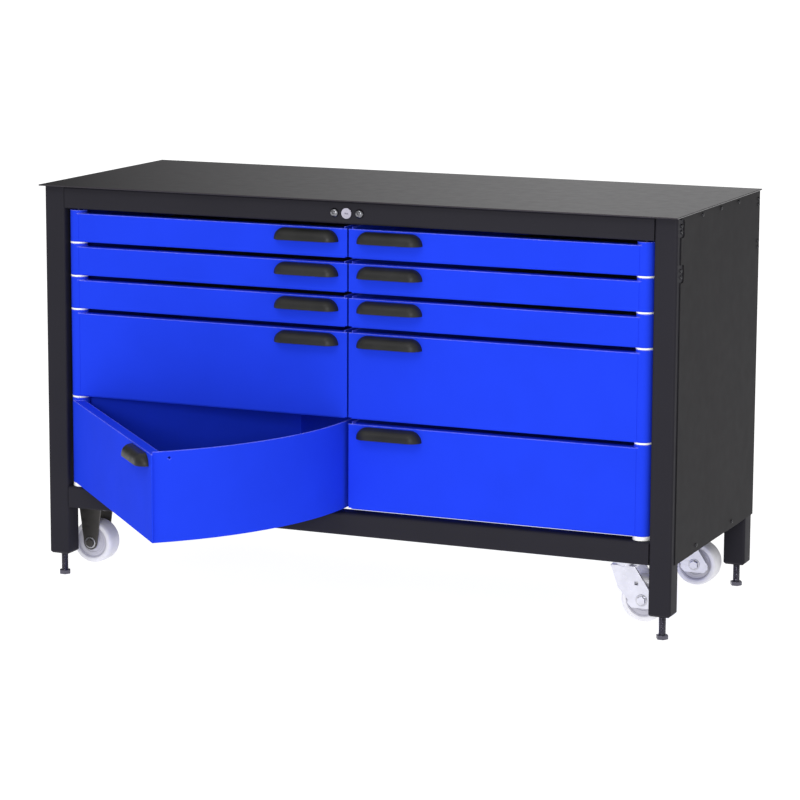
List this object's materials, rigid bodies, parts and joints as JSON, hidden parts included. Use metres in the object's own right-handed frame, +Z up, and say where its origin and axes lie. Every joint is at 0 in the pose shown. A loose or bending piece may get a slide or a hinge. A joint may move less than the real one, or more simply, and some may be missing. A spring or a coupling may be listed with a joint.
{
  "type": "workbench with drawers",
  "caption": "Steel workbench on levelling bolts and casters, with columns of curved-sided drawers that swing out on corner rods",
  "frame": {"origin": "middle of the underside of the bounding box, on the floor, with the bottom left drawer open as stored", "axes": "+X along the bench to the right as seen from the front, +Y from the drawer fronts to the back, +Z up"},
  "size_m": [1.524, 1.0768, 0.9144],
  "materials": {
    "frame_paint": "satin",
    "top_paint": "satin",
    "panel_paint": "satin",
    "drawer_paint": "satin",
    "handle_plastic": "matte",
    "nylon": "matte",
    "zinc": "satin",
    "chrome": "gloss",
    "tyre": "matte"
  },
  "bodies": {
    "bench": {"back_panel": "panel_paint", "bottom_rail_front": "frame_paint", "bottom_rail_left": "frame_paint", "bottom_rail_rear": "frame_paint", "bottom_rail_right": "frame_paint", "caster_fork_front_left": "zinc", "caster_fork_rear_left": "zinc", "caster_plate_front_right": "zinc", "caster_plate_rear_right": "zinc", "pivot_rod_left": "zinc", "pivot_rod_right": "zinc", "post_front_left": "frame_paint", "post_front_right": "frame_paint", "post_rear_left": "frame_paint", "post_rear_right": "frame_paint", "side_panel_left": "panel_paint", "side_panel_right": "panel_paint", "top_rail_front": "frame_paint", "washer_left_1": "nylon", "washer_left_2": "nylon", "washer_left_3": "nylon", "washer_left_4": "nylon", "washer_left_5": "nylon", "washer_right_1": "nylon", "washer_right_2": "nylon", "washer_right_3": "nylon", "washer_right_4": "nylon", "washer_right_5": "nylon", "worktop": "top_paint"},
    "drawer_left_1": {"drawer_left_1": "drawer_paint", "drawer_left_1_handle": "handle_plastic"},
    "drawer_left_2": {"drawer_left_2": "drawer_paint", "drawer_left_2_handle": "handle_plastic"},
    "drawer_left_3": {"drawer_left_3": "drawer_paint", "drawer_left_3_handle": "handle_plastic"},
    "drawer_left_4": {"drawer_left_4": "drawer_paint", "drawer_left_4_handle": "handle_plastic"},
    "drawer_left_5": {"drawer_left_5": "drawer_paint", "drawer_left_5_handle": "handle_plastic"},
    "drawer_right_1": {"drawer_right_1": "drawer_paint", "drawer_right_1_handle": "handle_plastic"},
    "drawer_right_2": {"drawer_right_2": "drawer_paint", "drawer_right_2_handle": "handle_plastic"},
    "drawer_right_3": {"drawer_right_3": "drawer_paint", "drawer_right_3_handle": "handle_plastic"},
    "drawer_right_4": {"drawer_right_4": "drawer_paint", "drawer_right_4_handle": "handle_plastic"},
    "drawer_right_5": {"drawer_right_5": "drawer_paint", "drawer_right_5_handle": "handle_plastic"},
    "caster_front_right_fork": {"caster_fork_front_right": "zinc"},
    "caster_rear_right_fork": {"caster_fork_rear_right": "zinc"},
    "caster_front_left_wheel": {"caster_wheel_front_left": "tyre"},
    "caster_front_right_wheel": {"caster_wheel_front_right": "tyre"},
    "caster_rear_left_wheel": {"caster_wheel_rear_left": "tyre"},
    "caster_rear_right_wheel": {"caster_wheel_rear_right": "tyre"},
    "levelling_bolt_front_left": {"levelling_bolt_front_left": "zinc"},
    "levelling_bolt_front_right": {"levelling_bolt_front_right": "zinc"},
    "levelling_bolt_rear_left": {"levelling_bolt_rear_left": "zinc"},
    "levelling_bolt_rear_right": {"levelling_bolt_rear_right": "zinc"},
    "lock": {"lock_cylinder": "chrome"}
  },
  "joints": [
    {"name": "drawer_left_1_swing", "type": "hinge", "parent": "bench", "child": "drawer_left_1", "pos_m": [-0.681, -0.02819, 0.7848], "axis": [0, 0, -1], "range_deg": [0, 90]},
    {"name": "drawer_left_2_swing", "type": "hinge", "parent": "bench", "child": "drawer_left_2", "pos_m": [-0.681, -0.02819, 0.7082], "axis": [0, 0, -1], "range_deg": [0, 90]},
    {"name": "drawer_left_3_swing", "type": "hinge", "parent": "bench", "child": "drawer_left_3", "pos_m": [-0.681, -0.02819, 0.6316], "axis": [0, 0, -1], "range_deg": [0, 90]},
    {"name": "drawer_left_4_swing", "type": "hinge", "parent": "bench", "child": "drawer_left_4", "pos_m": [-0.681, -0.02819, 0.4275], "axis": [0, 0, -1], "range_deg": [0, 90]},
    {"name": "drawer_left_5_swing", "type": "hinge", "parent": "bench", "child": "drawer_left_5", "pos_m": [-0.681, -0.02819, 0.2234], "axis": [0, 0, -1], "range_deg": [-47, 43]},
    {"name": "drawer_right_1_swing", "type": "hinge", "parent": "bench", "child": "drawer_right_1", "pos_m": [0.681, -0.02819, 0.7848], "axis": [0, 0, 1], "range_deg": [0, 90]},
    {"name": "drawer_right_2_swing", "type": "hinge", "parent": "bench", "child": "drawer_right_2", "pos_m": [0.681, -0.02819, 0.7082], "axis": [0, 0, 1], "range_deg": [0, 90]},
    {"name": "drawer_right_3_swing", "type": "hinge", "parent": "bench", "child": "drawer_right_3", "pos_m": [0.681, -0.02819, 0.6316], "axis": [0, 0, 1], "range_deg": [0, 90]},
    {"name": "drawer_right_4_swing", "type": "hinge", "parent": "bench", "child": "drawer_right_4", "pos_m": [0.681, -0.02819, 0.4275], "axis": [0, 0, 1], "range_deg": [0, 90]},
    {"name": "drawer_right_5_swing", "type": "hinge", "parent": "bench", "child": "drawer_right_5", "pos_m": [0.681, -0.02819, 0.2234], "axis": [0, 0, 1], "range_deg": [0, 90]},
    {"name": "caster_front_right_swivel", "type": "hinge", "parent": "bench", "child": "caster_front_right_fork", "pos_m": [0.6212, 0.05521, 0.14], "axis": [0, 0, 1], "continuous": true},
    {"name": "caster_rear_right_swivel", "type": "hinge", "parent": "bench", "child": "caster_rear_right_fork", "pos_m": [0.6212, 0.42561, 0.14], "axis": [0, 0, 1], "continuous": true},
    {"name": "caster_front_left_roll", "type": "hinge", "parent": "bench", "child": "caster_front_left_wheel", "pos_m": [-0.6912, 0.05521, 0.066], "axis": [0, 1, 0], "continuous": true},
    {"name": "caster_front_right_roll", "type": "hinge", "parent": "caster_front_right_fork", "child": "caster_front_right_wheel", "pos_m": [0.6652, 0.05521, 0.066], "axis": [0, 1, 0], "continuous": true},
    {"name": "caster_rear_left_roll", "type": "hinge", "parent": "bench", "child": "caster_rear_left_wheel", "pos_m": [-0.6912, 0.42561, 0.066], "axis": [0, 1, 0], "continuous": true},
    {"name": "caster_rear_right_roll", "type": "hinge", "parent": "caster_rear_right_fork", "child": "caster_rear_right_wheel", "pos_m": [0.6652, 0.42561, 0.066], "axis": [0, 1, 0], "continuous": true},
    {"name": "levelling_bolt_front_left_travel", "type": "slide", "parent": "bench", "child": "levelling_bolt_front_left", "axis": [0, 0, 1], "range_m": [-0.03, 0.03]},
    {"name": "levelling_bolt_front_right_travel", "type": "slide", "parent": "bench", "child": "levelling_bolt_front_right", "axis": [0, 0, 1], "range_m": [-0.03, 0.03]},
    {"name": "levelling_bolt_rear_left_travel", "type": "slide", "parent": "bench", "child": "levelling_bolt_rear_left", "axis": [0, 0, 1], "range_m": [-0.03, 0.03]},
    {"name": "levelling_bolt_rear_right_travel", "type": "slide", "parent": "bench", "child": "levelling_bolt_rear_right", "axis": [0, 0, 1], "range_m": [-0.03, 0.03]},
    {"name": "lock_turn", "type": "hinge", "parent": "bench", "child": "lock", "pos_m": [0, -0.05359, 0.8845], "axis": [0, 1, 0], "range_deg": [0, 90]}
  ]
}
